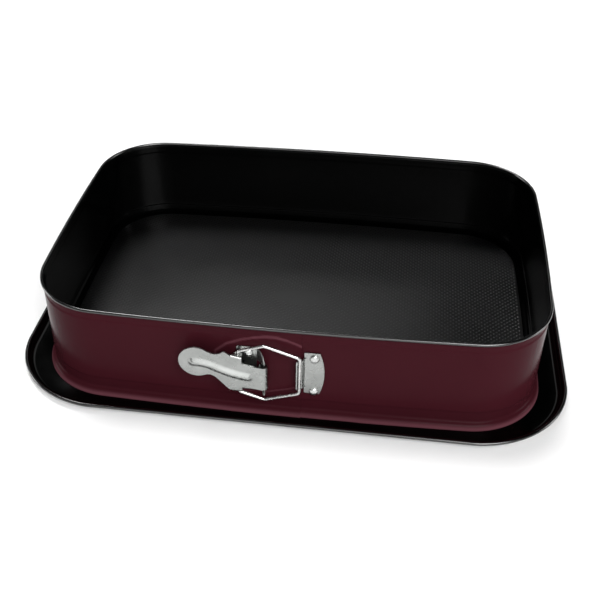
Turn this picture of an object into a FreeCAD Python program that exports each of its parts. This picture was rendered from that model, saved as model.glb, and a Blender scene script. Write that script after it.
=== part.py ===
import FreeCAD, Part
import math
import os
import Sketcher

# Rectangular springform pan. Millimetres. +Z up, z = 0 is the table, X along the pan,
# the latch is on the wall at -Y.

DOC = FreeCAD.newDocument("springform_pan")
SHEET = DOC.addObject("Spreadsheet::Sheet", "Sheet")
SIZES = [
    # band outline, measured on the inner face of the wall
    ("half_length", 187.4), ("half_depth", 128.9), ("corner_radius", 52.5),
    ("side_radius", 2200.0), ("long_radius", 3200.0),
    # band section
    ("pan_height", 80.0), ("band_sheet", 0.6), ("roll_radius", 1.3), ("panel_step", 0.5),
    ("panel_top", 71.0), ("panel_bottom", 15.5), ("step_run", 0.9),
    ("flare_angle", 63.3), ("flare_upper_radius", 3.0), ("flare_lower_radius", 5.0),
    ("flare_edge_height", 1.0), ("curl_end_angle", 70.0),
    # base tray
    ("base_sheet", 0.7), ("floor_height", 7.1), ("floor_inset", 4.6), ("moat_step_run", 1.2),
    ("nest_gap", 0.35),
    ("tray_half_length", 210.1), ("tray_half_depth", 147.2), ("tray_corner_radius", 72.7),
    ("tray_roll_height", 5.4), ("tray_roll_radius", 1.4),
    # joggled pad of the overlap
    ("pad_raise", 0.8), ("overlap_edge", 16.0), ("pad_left", 46.0),
    # latch
    ("latch_height", 43.0), ("stamp_sheet", 0.9), ("lever_sheet", 1.2),
    ("hinge_left", 10.2), ("hinge_out", 6.2), ("hinge_bar_radius", 1.3), ("hinge_play", 0.1),
    ("ear_left", 28.5), ("bail_out", 5.7), ("wire_radius", 1.2), ("eye_play", 0.1),
    ("hook_right", 15.3), ("hook_play", 0.3), ("hook_half_height", 13.0),
    ("rivet_shank_radius", 1.5), ("rivet_head_radius", 3.1), ("rivet_head_height", 1.7),
    ("bracket_rivet_left", 21.7), ("bracket_rivet_rise", 14.6),
    ("catch_rivet_right", 25.1), ("catch_rivet_up", 13.1), ("catch_rivet_down", 17.3),
    ("barrel_bottom", 29.4), ("barrel_top", 50.0), ("ear_top", 59.2), ("ear_bottom", 26.0),
]
for row, (alias, value) in enumerate(SIZES, start=1):
    SHEET.set("A%d" % row, alias)
    SHEET.set("B%d" % row, str(value))
    SHEET.setAlias("B%d" % row, alias)
DOC.recompute()


class Size:
    """A length that carries its value and the expression that gives it."""

    def __init__(self, value, text):
        self.value, self.text = value, text

    @staticmethod
    def of(other):
        return other if isinstance(other, Size) else Size(float(other), "%.9g" % other)

    def __add__(self, other):
        other = Size.of(other)
        return Size(self.value + other.value, "(%s + %s)" % (self.text, other.text))

    def __sub__(self, other):
        other = Size.of(other)
        return Size(self.value - other.value, "(%s - %s)" % (self.text, other.text))

    def __mul__(self, other):
        other = Size.of(other)
        return Size(self.value * other.value, "(%s * %s)" % (self.text, other.text))

    def __neg__(self):
        return Size(-self.value, "(0 - %s)" % self.text)

    __radd__ = __add__
    __rmul__ = __mul__

    def __rsub__(self, other):
        return Size.of(other) - self


class Sizes:
    def __getattr__(self, name):
        return Size(float(getattr(SHEET, name)), "Sheet." + name)


S = Sizes()


def sin_of(angle):
    return Size(math.sin(math.radians(angle.value)), "sin(%s * 1deg)" % angle.text)


def cos_of(angle):
    return Size(math.cos(math.radians(angle.value)), "cos(%s * 1deg)" % angle.text)


def bind(sketch, kind, *args):
    """Adds a dimension constraint and binds it to its Size."""
    size = Size.of(args[-1])
    index = sketch.addConstraint(Sketcher.Constraint(kind, *args[:-1], size.value))
    if size.text.find("Sheet.") >= 0:
        sketch.setExpression("Constraints[%d]" % index, size.text)


def pin(sketch, geo, point, x, y):
    """Fixes a point of a sketch at (x, y)."""
    for kind, axis, size in (("DistanceX", -2, x), ("DistanceY", -1, y)):
        if abs(Size.of(size).value) < 1e-9:
            sketch.addConstraint(Sketcher.Constraint("PointOnObject", geo, point, axis))
        else:
            bind(sketch, kind, geo, point, size)


def vector(x, y):
    return FreeCAD.Vector(Size.of(x).value, Size.of(y).value, 0)


def arc_through(start, end, radius, left):
    """Arc of the given signed side between two points; left = centre on the left hand."""
    chord = end - start
    reach = math.sqrt(max(radius * radius - (chord.Length / 2) ** 2, 0))
    normal = FreeCAD.Vector(-chord.y, chord.x, 0).normalize()
    centre = (start + end) * 0.5 + normal * (reach if left else -reach)
    first = math.atan2(start.y - centre.y, start.x - centre.x)
    last = math.atan2(end.y - centre.y, end.x - centre.x)
    circle = Part.Circle(centre, FreeCAD.Vector(0, 0, 1), radius)
    if left:
        return Part.ArcOfCircle(circle, first, last if last > first else last + 2 * math.pi), (1, 2)
    return Part.ArcOfCircle(circle, last, first if first > last else first + 2 * math.pi), (2, 1)


def trace(sketch, points, closed=True):
    """Draws a chain of edges. A point is (x, y) or (x, y, radius, left): the edge that
    leaves it is then a short arc. Every corner is placed by its own two sizes."""
    count = len(points)
    edges = count if closed else count - 1
    ends = []
    for k in range(edges):
        here, there = points[k], points[(k + 1) % count]
        start, end = vector(*here[:2]), vector(*there[:2])
        if len(here) == 4:
            shape, ids = arc_through(start, end, Size.of(here[2]).value, here[3])
        else:
            shape, ids = Part.LineSegment(start, end), (1, 2)
        ends.append((sketch.addGeometry(shape, False), ids))
    for k, (geo, ids) in enumerate(ends):
        if closed or k < edges - 1:
            after, after_ids = ends[(k + 1) % edges]
            sketch.addConstraint(
                Sketcher.Constraint("Coincident", geo, ids[1], after, after_ids[0]))
    for k, (geo, ids) in enumerate(ends):
        pin(sketch, geo, ids[0], *points[k][:2])
        if len(points[k]) == 4:
            bind(sketch, "Radius", geo, points[k][2])
    if not closed:
        pin(sketch, ends[-1][0], ends[-1][1][1], *points[-1][:2])


def circle(sketch, x, y, radius):
    shape = Part.Circle(vector(x, y), FreeCAD.Vector(0, 0, 1), Size.of(radius).value)
    geo = sketch.addGeometry(shape, False)
    pin(sketch, geo, 3, x, y)
    bind(sketch, "Radius", geo, radius)


def bowed_outline(sketch, offset):
    """Closed outline of the band: four corners joined by slightly bowed sides, at an
    offset from the inner face of the wall. It starts on +X."""
    wide, deep = S.half_length + offset, S.half_depth + offset
    corner, side, long_side = S.corner_radius + offset, S.side_radius + offset, S.long_radius + offset
    side_x, long_y = wide - side, deep - long_side
    # corner centre: where the circles of the two bowed sides, shrunk by the corner, meet
    a, b = side.value - corner.value, long_side.value - corner.value
    p, q = side_x.value, long_y.value
    apart = math.hypot(p, q)
    along = (a * a - b * b + apart * apart) / (2 * apart)
    up = math.sqrt(a * a - along * along)
    cx = p + (-p * along + q * up * -1) / apart
    cy = (q * along - p * up) / apart
    if cx < 0 or cy < 0:
        cx = p + (-p * along + q * up) / apart
        cy = (q * along + p * up) / apart
    lean = math.atan2(cy, cx - p)
    rise = math.atan2(cy - q, cx)

    def arc(x, y, radius, first, last):
        shape = Part.ArcOfCircle(
            Part.Circle(FreeCAD.Vector(x, y, 0), FreeCAD.Vector(0, 0, 1), radius), first, last)
        return sketch.addGeometry(shape, False)

    turn = math.pi
    ring = [
        arc(p, 0, side.value, 0, lean),
        arc(cx, cy, corner.value, lean, rise),
        arc(0, q, long_side.value, rise, turn - rise),
        arc(-cx, cy, corner.value, turn - rise, turn - lean),
        arc(-p, 0, side.value, turn - lean, turn + lean),
        arc(-cx, -cy, corner.value, turn + lean, turn + rise),
        arc(0, -q, long_side.value, turn + rise, 2 * turn - rise),
        arc(cx, -cy, corner.value, 2 * turn - rise, 2 * turn - lean),
        arc(p, 0, side.value, 2 * turn - lean, 2 * turn),
    ]
    for k in range(8):
        sketch.addConstraint(Sketcher.Constraint("Tangent", ring[k], 2, ring[k + 1], 1))
    sketch.addConstraint(Sketcher.Constraint("Coincident", ring[8], 2, ring[0], 1))
    sketch.addConstraint(Sketcher.Constraint("Coincident", ring[8], 3, ring[0], 3))
    pin(sketch, ring[0], 1, wide, 0)
    sketch.addConstraint(Sketcher.Constraint("PointOnObject", ring[0], 3, -1))
    pin(sketch, ring[2], 3, 0, long_y)
    pin(sketch, ring[6], 3, 0, -long_y)
    pin(sketch, ring[4], 3, -side_x, 0)
    for k, radius in ((0, side), (4, side), (2, long_side), (6, long_side)):
        bind(sketch, "Radius", ring[k], radius)
    for k in (1, 3, 5, 7):
        bind(sketch, "Radius", ring[k], corner)


def straight_outline(sketch, wide, deep, corner):
    """Rounded rectangle that starts on +X."""
    trace(sketch, [
        (wide, 0), (wide, deep - corner, corner, True), (wide - corner, deep),
        (corner - wide, deep, corner, True), (-wide, deep - corner),
        (-wide, corner - deep, corner, True), (corner - wide, -deep),
        (wide - corner, -deep, corner, True), (wide, corner - deep),
    ])


def body(label):
    made = DOC.addObject("PartDesign::Body", label)
    made.Label = label
    made.Placement = FreeCAD.Placement()
    return made


def sketch_on(owner, name, plane, offset=None):
    made = owner.newObject("Sketcher::SketchObject", name)
    support = [f for f in owner.Origin.OriginFeatures if f.Role == plane + "_Plane"][0]
    made.AttachmentSupport = [(support, "")]
    made.MapMode = "FlatFace"
    if offset is not None:
        made.AttachmentOffset = FreeCAD.Placement(
            FreeCAD.Vector(0, 0, offset.value), FreeCAD.Rotation())
        made.setExpression("AttachmentOffset.Base.z", offset.text)
    return made


def pad(owner, sketch, name, length):
    made = owner.newObject("PartDesign::Pad", name)
    made.Profile = sketch
    made.Length = Size.of(length).value
    if isinstance(length, Size):
        made.setExpression("Length", length.text)
    DOC.recompute()
    return made


def pocket(owner, sketch, name, length, both=False, backwards=False):
    made = owner.newObject("PartDesign::Pocket", name)
    made.Profile = sketch
    made.Length = Size.of(length).value
    made.Midplane = both
    made.Reversed = backwards
    if isinstance(length, Size):
        made.setExpression("Length", length.text)
    DOC.recompute()
    return made


def pipe(owner, profile, spine, name):
    made = owner.newObject("PartDesign::AdditivePipe", name)
    made.Profile = profile
    made.Spine = (spine, [])
    DOC.recompute()
    return made


# ---------------------------------------------------------------- shared positions
wall_front = S.half_depth + S.band_sheet + S.panel_step      # distance of the wall panel from XZ
flare_edge = S.flare_angle
flare_run = (1 - cos_of(flare_edge)) * (S.flare_upper_radius + S.flare_lower_radius)
flare_drop = sin_of(flare_edge) * (S.flare_upper_radius + S.flare_lower_radius)
flare_top = S.flare_edge_height + flare_drop
half_sheet = S.band_sheet * 0.5
knee_run = (1 - cos_of(flare_edge)) * S.flare_upper_radius
knee_drop = sin_of(flare_edge) * S.flare_upper_radius


def knee(shift):
    """Point where the two flare arcs meet, shifted along the section's normal."""
    return (S.half_length + half_sheet + knee_run + cos_of(flare_edge) * shift,
            flare_top - knee_drop + sin_of(flare_edge) * shift)


# ---------------------------------------------------------------- base tray
tray = body("base_tray")
nest = half_sheet + S.nest_gap                      # band centre line to the tray's top face
shoulder_radius = S.flare_lower_radius - nest
shoulder_x = S.half_length + half_sheet + flare_run - S.flare_lower_radius
moat_top = S.flare_edge_height + shoulder_radius
floor_edge = S.half_length - S.floor_inset
gutter_x = shoulder_x + shoulder_radius

floor = sketch_on(tray, "floor_outline", "XY", S.floor_height - S.base_sheet)
bowed_outline(floor, 0.3 - S.floor_inset)
pad(tray, floor, "floor_plate", S.base_sheet)

spine = sketch_on(tray, "shoulder_spine", "XY")
bowed_outline(spine, Size.of(0))
shoulder = sketch_on(tray, "shoulder_section", "XZ")
thick = S.base_sheet
trace(shoulder, [
    (floor_edge, S.floor_height),
    (floor_edge + S.moat_step_run, moat_top),
    (shoulder_x, moat_top, shoulder_radius, False),
    (shoulder_x + shoulder_radius, S.flare_edge_height),
    (shoulder_x + shoulder_radius, thick),
    (gutter_x + 1, thick),
    (gutter_x + 1, 0),
    (shoulder_x + shoulder_radius - thick, 0),
    (shoulder_x + shoulder_radius - thick, S.flare_edge_height, shoulder_radius - thick, True),
    (shoulder_x, moat_top - thick),
    (floor_edge + S.moat_step_run - 0.35, moat_top - thick),
    (floor_edge - 0.35, S.floor_height - thick),
])
pipe(tray, shoulder, spine, "shoulder")

gutter = sketch_on(tray, "gutter_outline", "XY")
roll_run = S.tray_roll_radius - thick * 0.5
rise_radius = S.tray_roll_height - thick * 0.5
gutter_in = roll_run + rise_radius
straight_outline(gutter, S.tray_half_length - gutter_in + 0.3, S.tray_half_depth - gutter_in + 0.3,
                 S.tray_corner_radius - gutter_in + 0.3)
bowed_outline(gutter, gutter_x + 0.5 - S.half_length)
pad(tray, gutter, "gutter", thick)

rim_spine = sketch_on(tray, "tray_rim_spine", "XY")
straight_outline(rim_spine, S.tray_half_length, S.tray_half_depth, S.tray_corner_radius)
rim = sketch_on(tray, "tray_rim_section", "XZ")
rim_x, rim_z, roll = S.tray_half_length, S.tray_roll_height, S.tray_roll_radius
bore = roll - thick
low_cos, low_sin = cos_of(S.curl_end_angle), sin_of(S.curl_end_angle)
trace(rim, [
    (rim_x - gutter_in, 0, rise_radius + thick * 0.5, True),
    (rim_x - bore, rim_z, bore, False),
    (rim_x, rim_z + bore, bore, False),
    (rim_x + bore, rim_z, bore, False),
    (rim_x + low_cos * bore, rim_z - low_sin * bore),
    (rim_x + low_cos * roll, rim_z - low_sin * roll, roll, True),
    (rim_x + roll, rim_z, roll, True),
    (rim_x, rim_z + roll, roll, True),
    (rim_x - roll, rim_z, rise_radius - thick * 0.5, False),
    (rim_x - gutter_in, thick),
])
pipe(tray, rim, rim_spine, "tray_rim")

# ---------------------------------------------------------------- side band
band = body("side_band")
band_spine = sketch_on(band, "band_spine", "XY")
bowed_outline(band_spine, Size.of(0))
section = sketch_on(band, "band_section", "XZ")
inner, outer = S.half_length, S.half_length + S.band_sheet
top_z = S.pan_height - S.roll_radius
band_bore = S.roll_radius - S.band_sheet
top_x = inner + S.roll_radius
edge_x = S.half_length + half_sheet + flare_run
upper, lower = S.flare_upper_radius, S.flare_lower_radius
trace(section, [
    (inner, top_z),
    (inner, S.panel_top + S.step_run),
    (inner + S.panel_step, S.panel_top),
    (inner + S.panel_step, S.panel_bottom + S.step_run),
    (inner, S.panel_bottom),
    (inner, flare_top, upper + half_sheet, True),
    (knee(-half_sheet)[0], knee(-half_sheet)[1], lower - half_sheet, False),
    (edge_x - half_sheet, S.flare_edge_height),
    (edge_x + half_sheet, S.flare_edge_height, lower + half_sheet, True),
    (knee(half_sheet)[0], knee(half_sheet)[1], upper - half_sheet, False),
    (outer, flare_top),
    (outer, S.panel_bottom - 0.15),
    (outer + S.panel_step, S.panel_bottom + S.step_run - 0.15),
    (outer + S.panel_step, S.panel_top + 0.15),
    (outer, S.panel_top + S.step_run + 0.15),
    (outer, top_z, band_bore, False),
    (top_x, top_z + band_bore, band_bore, False),
    (top_x + band_bore, top_z, band_bore, False),
    (top_x + low_cos * band_bore, top_z - low_sin * band_bore),
    (top_x + low_cos * S.roll_radius, top_z - low_sin * S.roll_radius, S.roll_radius, True),
    (top_x + S.roll_radius, top_z, S.roll_radius, True),
    (top_x, top_z + S.roll_radius, S.roll_radius, True),
])
pipe(band, section, band_spine, "band_sheet_ring")

joggle = sketch_on(band, "joggle_outline", "XZ", wall_front - 0.45)
trace(joggle, [
    (-S.pad_left, S.latch_height - 20.5), (-S.pad_left, S.latch_height + 12.5),
    (8.5 - S.pad_left, S.latch_height + 19.5), (-11, S.latch_height + 26.2),
    (3, S.latch_height + 25.6), (S.overlap_edge, S.latch_height + 21.5),
    (S.overlap_edge, S.latch_height - 24.5), (-12, S.latch_height - 25.5),
])
pad(band, joggle, "joggle", S.pad_raise + 0.45)

holes = sketch_on(band, "rivet_holes", "XZ", wall_front - 4)
bracket_rivets = [(-S.bracket_rivet_left, S.latch_height + S.bracket_rivet_rise),
                  (-S.bracket_rivet_left, S.latch_height - S.bracket_rivet_rise)]
catch_rivets = [(S.catch_rivet_right, S.latch_height + S.catch_rivet_up),
                (S.catch_rivet_right, S.latch_height - S.catch_rivet_down)]
for x, z in bracket_rivets + catch_rivets:
    circle(holes, x, z, S.rivet_shank_radius)
pocket(band, holes, "rivet_holes_cut", 8, backwards=True)

# ---------------------------------------------------------------- hinge bracket
bracket = body("hinge_bracket")
seat = wall_front + S.pad_raise                      # outer face of the joggled pad
bar_y = -(wall_front + S.hinge_out)
bar_x = -S.hinge_left
stamp = S.stamp_sheet
plate_right = bar_x - 5.4
bent = sketch_on(bracket, "bracket_section", "XY", S.latch_height - 20.6)
trace(bent, [
    (bar_x - 20.3, -seat),
    (plate_right, -seat),
    (bar_x + 0.55, bar_y + 0.65),
    (bar_x - 0.35, bar_y - 0.65),
    (plate_right - 0.45, -(seat + stamp)),
    (bar_x - 20.3, -(seat + stamp)),
])
pad(bracket, bent, "bracket_plate", 41.2)
bar = sketch_on(bracket, "bar_section", "XY", S.latch_height - 18.6)
circle(bar, bar_x, bar_y, S.hinge_bar_radius)
pad(bracket, bar, "hinge_bar", 37.2)
trim = sketch_on(bracket, "bracket_trim", "XZ", wall_front - 1)
window_low, window_high = S.barrel_bottom - 1.2, S.barrel_top + 1.2
for side in (1, -1):
    trace(trim, [
        (bar_x + 2.2, S.latch_height + side * 17.4),
        (bar_x + 2.2, S.latch_height + side * 22),
        (bar_x - 8.5, S.latch_height + side * 22),
        (bar_x - 5.2, S.latch_height + side * 20.6),
        (bar_x - 1.6, S.latch_height + side * 19.6),
    ])
for x, z in bracket_rivets:
    circle(trim, x, z, S.rivet_shank_radius)
pocket(bracket, trim, "bracket_trim_cut", 12, backwards=True)
window = sketch_on(bracket, "bracket_window", "XY", window_low)
trace(window, [
    (plate_right - 0.9, -(seat + stamp)), (plate_right - 0.9, -(wall_front + 0.2)),
    (bar_x + 3, -(wall_front + 0.2)), (bar_x + 3, bar_y - 3), (bar_x - 4, bar_y - 3),
])
pocket(bracket, window, "bracket_window_cut", window_high - window_low, backwards=True)
middle = sketch_on(bracket, "bar_middle", "XY", window_low - 0.5)
circle(middle, bar_x, bar_y, S.hinge_bar_radius)
pad(bracket, middle, "hinge_bar_middle", window_high - window_low + 1)

# ---------------------------------------------------------------- catch plate
catch = body("catch_plate")
hook_x = S.hook_right
hook_y = -(wall_front + S.bail_out)
face = sketch_on(catch, "catch_outline", "XZ", wall_front)
catch_left = hook_x + 2.7
trace(face, [
    (catch_left, S.latch_height - 19.2), (catch_left + 11.2, S.latch_height - 19.5, 55, True),
    (catch_left + 10.9, S.latch_height + 18.1), (catch_left, S.latch_height + 18.1),
])
for x, z in catch_rivets:
    circle(face, x, z, S.rivet_shank_radius)
pad(catch, face, "catch_face", stamp)
tongue_y = hook_y + S.wire_radius + S.hook_play      # face of the tongue under the wire
flange_x = hook_x - S.wire_radius - S.hook_play      # face of the flange beside the wire
hook = sketch_on(catch, "hook_section", "XY", S.latch_height - S.hook_half_height)
trace(hook, [
    (catch_left + 1.5, -wall_front),
    (catch_left + 1.5, -(wall_front + stamp)),
    (catch_left + 0.5, -(wall_front + stamp)),
    (hook_x + 1.5, tongue_y),
    (flange_x, tongue_y),
    (flange_x, hook_y - 1.6),
    (flange_x - stamp, hook_y - 1.6),
    (flange_x - stamp, tongue_y + stamp),
    (hook_x + 1.0, tongue_y + stamp),
    (catch_left - 0.1, -wall_front),
])
pad(catch, hook, "hook", S.hook_half_height * 2)

# ---------------------------------------------------------------- latch lever
lever = body("latch_lever")
curl_in = S.hinge_bar_radius + S.hinge_play
curl_out = curl_in + S.lever_sheet
front = wall_front + S.hinge_out + curl_out
blade = sketch_on(lever, "lever_outline", "XZ", front - S.lever_sheet)
trace(blade, [
    (bar_x, S.barrel_bottom), (bar_x, S.barrel_top), (-25.6, S.barrel_top + 1.6),
    (-25.6, S.ear_top), (-33.6, S.ear_top), (-38.1, 62.2), (-41.5, 60.2, 9.0, False),
    (-50.2, 61.4, 13.2, True), (-71.4, 54.4, 13.2, True), (-63.5, 38.9, 13.2, True),
    (-51.4, 40.15, 6.0, False), (-43.8, 38.0), (-35.2, 28.2), (-33.0, S.ear_bottom),
    (-25.6, S.ear_bottom), (-25.6, S.barrel_bottom + 1.0),
])
pad(lever, blade, "blade", S.lever_sheet)
barrel = sketch_on(lever, "barrel_section", "XY", S.barrel_bottom)
trace(barrel, [
    (bar_x - 0.5, bar_y - curl_out + 0.03), (bar_x, bar_y - curl_out, curl_out, True),
    (bar_x + curl_out, bar_y, curl_out, True), (bar_x, bar_y + curl_out, curl_out, True),
    (bar_x - curl_out, bar_y), (bar_x - curl_in, bar_y, curl_in, False),
    (bar_x, bar_y + curl_in, curl_in, False), (bar_x + curl_in, bar_y, curl_in, False),
    (bar_x, bar_y - curl_in), (bar_x - 0.5, bar_y - curl_in - 0.03),
])
pad(lever, barrel, "barrel", S.barrel_top - S.barrel_bottom)
pin_x = -S.ear_left
for name, low in (("top_ear", S.ear_top - S.lever_sheet), ("bottom_ear", S.ear_bottom)):
    ear = sketch_on(lever, name + "_outline", "XY", low)
    trace(ear, [
        (pin_x + 2.9, 0.4 - front), (pin_x + 2.9, hook_y, 2.9, True),
        (pin_x, hook_y + 2.9, 2.9, True), (pin_x - 2.9, hook_y), (pin_x - 5.1, hook_y - 1.6),
        (pin_x - 5.1, 0.4 - front),
    ])
    circle(ear, pin_x, hook_y, S.wire_radius + S.eye_play)
    pad(lever, ear, name, S.lever_sheet)
rib = sketch_on(lever, "rib_outline", "XZ", front - 0.3)
trace(rib, [
    (-61.9, 49.0, 2.7, False), (-62.1, 54.2, 45.6, False), (-49.9, 53.4, 111.6, False),
    (-36.6, 47.8, 128.4, True), (-18.0, 43.5, 2.7, False), (-19.0, 38.4, 133.6, False),
    (-38.4, 42.9, 106.4, True), (-51.1, 48.3, 40.4, True),
])
pad(lever, rib, "rib", 1.2)

# ---------------------------------------------------------------- bail wire
bail = body("bail_wire")
path = sketch_on(bail, "bail_path", "XZ", wall_front + S.bail_out)
corners = [
    (pin_x, S.ear_top - 2.9), (pin_x, S.ear_top + 2.3), (-10.0, S.latch_height + 25.0),
    (hook_x, S.latch_height + 16.4), (hook_x, S.latch_height - 16.4),
    (-10.0, S.latch_height - 25.2), (pin_x, S.ear_bottom - 2.3), (pin_x, S.ear_bottom + 2.9),
]
bends = [0, 2.2, 4.0, 3.2, 3.2, 4.0, 2.2, 0]
nodes = [corners[0]]
for k in range(1, 7):
    at = vector(*corners[k])
    back = (vector(*corners[k - 1]) - at).normalize()
    ahead = (vector(*corners[k + 1]) - at).normalize()
    cut = bends[k] / math.tan(back.getAngle(ahead) / 2)
    left = (back * -1).cross(ahead).z > 0
    nodes.append((corners[k][0] + back.x * cut, corners[k][1] + back.y * cut, bends[k], left))
    nodes.append((corners[k][0] + ahead.x * cut, corners[k][1] + ahead.y * cut))
nodes.append(corners[7])
trace(path, nodes, closed=False)
wire = sketch_on(bail, "wire_section", "XY", S.ear_top - 2.9)
circle(wire, pin_x, hook_y, S.wire_radius)
pipe(bail, wire, path, "wire")

# ---------------------------------------------------------------- rivets
RIVETS = []
for label, (x, z), seat_face in (
        ("bracket_rivet_top", bracket_rivets[0], seat + stamp),
        ("bracket_rivet_bottom", bracket_rivets[1], seat + stamp),
        ("catch_rivet_top", catch_rivets[0], wall_front + stamp),
        ("catch_rivet_bottom", catch_rivets[1], wall_front + stamp)):
    made = body(label)
    half = sketch_on(made, label + "_section", "XY", z)
    shank, head = S.rivet_shank_radius, S.rivet_head_radius
    inside = S.half_depth + S.panel_step - 0.35
    trace(half, [
        (x, -(seat_face + S.rivet_head_height), 5.0, True),
        (x + head - 0.1, -(seat_face + 0.6)), (x + head - 0.1, -seat_face),
        (x + shank, -seat_face), (x + shank, -inside), (x + head - 0.4, -inside),
        (x + head - 0.8, 0.7 - inside), (x, 0.7 - inside),
    ])
    spin = made.newObject("PartDesign::Revolution", label + "_turned")
    spin.Profile = half
    axis = half.addGeometry(Part.LineSegment(
        vector(x, -(seat_face + 4)), vector(x, 4 - inside)), True)
    pin(half, axis, 1, x, -(seat_face + 4))
    pin(half, axis, 2, x, 4 - inside)
    spin.ReferenceAxis = (half, ["Axis0"])
    spin.Angle = 360
    DOC.recompute()
    RIVETS.append(made)

# ---------------------------------------------------------------- check and write
DOC.recompute()
for item in DOC.Objects:
    if {"Invalid", "Error"} & set(item.State):
        raise RuntimeError("%s is in state %s" % (item.Label, item.State))
os.makedirs("parts", exist_ok=True)
for item in [tray, band, bracket, catch, lever, bail] + RIVETS:
    shape = item.Shape
    if shape.isNull() or not shape.isValid():
        raise RuntimeError("%s is not a valid solid" % item.Label)
    print(item.Label, "solids", len(shape.Solids), "volume", round(shape.Volume, 1))
    shape.exportStep(os.path.join("parts", item.Label + ".step"))
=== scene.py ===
import math

import bmesh
import bpy
from mathutils import Matrix, Vector
from mathutils.geometry import delaunay_2d_cdt


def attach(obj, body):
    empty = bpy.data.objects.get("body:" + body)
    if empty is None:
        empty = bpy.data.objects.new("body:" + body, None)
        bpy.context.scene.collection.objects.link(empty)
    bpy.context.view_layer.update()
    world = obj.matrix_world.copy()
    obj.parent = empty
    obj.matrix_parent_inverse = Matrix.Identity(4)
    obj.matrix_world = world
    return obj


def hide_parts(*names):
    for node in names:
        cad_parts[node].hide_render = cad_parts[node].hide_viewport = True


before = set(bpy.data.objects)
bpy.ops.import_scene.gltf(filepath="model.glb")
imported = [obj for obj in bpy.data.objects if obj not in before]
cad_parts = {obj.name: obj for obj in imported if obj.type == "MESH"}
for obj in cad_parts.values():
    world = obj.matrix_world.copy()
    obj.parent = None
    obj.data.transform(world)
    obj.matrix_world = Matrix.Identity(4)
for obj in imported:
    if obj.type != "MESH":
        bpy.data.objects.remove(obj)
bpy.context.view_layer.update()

# Shapes are worked out in millimetres and stored in metres. "out" is the distance from the
# middle plane towards the latch side, so a point's y is -out there.
MM = 0.001
TAU = 2 * math.pi

# ------------------------------------------------------------------ sizes (as in the CAD)
HALF_LENGTH, HALF_DEPTH, CORNER = 187.4, 128.9, 52.5
SIDE_BOW, LONG_BOW, STRAIGHT = 2200.0, 3200.0, 1e7
BAND_SHEET, PANEL_STEP = 0.6, 0.5
ROLL_RADIUS, ROLL_Z = 1.3, 78.7
PANEL_LOW, PANEL_HIGH = 15.5, 71.0
FLARE_ANGLE, FLARE_TOP, LIP_Z = 63.3, 8.15, 1.0
FLOOR_Z, MOAT_Z, TRAY_SHEET, FLOOR_INSET = 7.1, 5.35, 0.7, 4.6
TRAY_X, TRAY_Y, TRAY_CORNER = 210.1, 147.2, 72.7
WALL_OUT = 130.0
SEAT_OUT = 130.8
BRACKET_RIVETS = [(-21.7, 57.6), (-21.7, 28.4)]
CATCH_RIVETS = [(25.1, 56.1), (25.1, 25.7)]
BAR_X, BAR_OUT = -10.2, 136.2
EYE_X, WIRE_OUT, HOOK_X = -28.5, 135.7, 15.3


# ------------------------------------------------------------------ small helpers
def smooth(t):
    t = min(max(t, 0.0), 1.0)
    return t * t * (3 - 2 * t)


def arc(cx, cy, radius, start, end, steps):
    """Points on an arc, both ends included, angles in degrees."""
    return [(cx + radius * math.cos(math.radians(start + (end - start) * k / steps)),
             cy + radius * math.sin(math.radians(start + (end - start) * k / steps)))
            for k in range(steps + 1)]


def tube_faces(count, sides):
    """Four-sided faces between rings of points, one ring after the other."""
    faces = []
    for c in range(count - 1):
        for k in range(sides):
            n = (k + 1) % sides
            faces.append((c * sides + k, c * sides + n, (c + 1) * sides + n,
                          (c + 1) * sides + k))
    return faces


def spaced(low, high, step):
    count = max(1, round((high - low) / step))
    return [low + (high - low) * k / count for k in range(count + 1)]


def make_piece(name, points, faces, body, materials, node=None, face_slots=None,
               sharp=40.0):
    """A mesh piece from points in millimetres; it rides on its body and names its slot."""
    mesh = bpy.data.meshes.new(name)
    mesh.from_pydata([(x * MM, y * MM, z * MM) for x, y, z in points], [], faces)
    for item in materials:
        mesh.materials.append(item)
    if face_slots:
        mesh.polygons.foreach_set("material_index", face_slots)
    tidy = bmesh.new()
    tidy.from_mesh(mesh)
    bmesh.ops.recalc_face_normals(tidy, faces=tidy.faces)
    tidy.to_mesh(mesh)
    tidy.free()
    mesh.polygons.foreach_set("use_smooth", [True] * len(mesh.polygons))
    mesh.set_sharp_from_angle(angle=math.radians(sharp))
    mesh.update()
    piece = bpy.data.objects.new(name, mesh)
    bpy.context.scene.collection.objects.link(piece)
    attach(piece, body)
    if node:
        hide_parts(node)
    return piece


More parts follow.
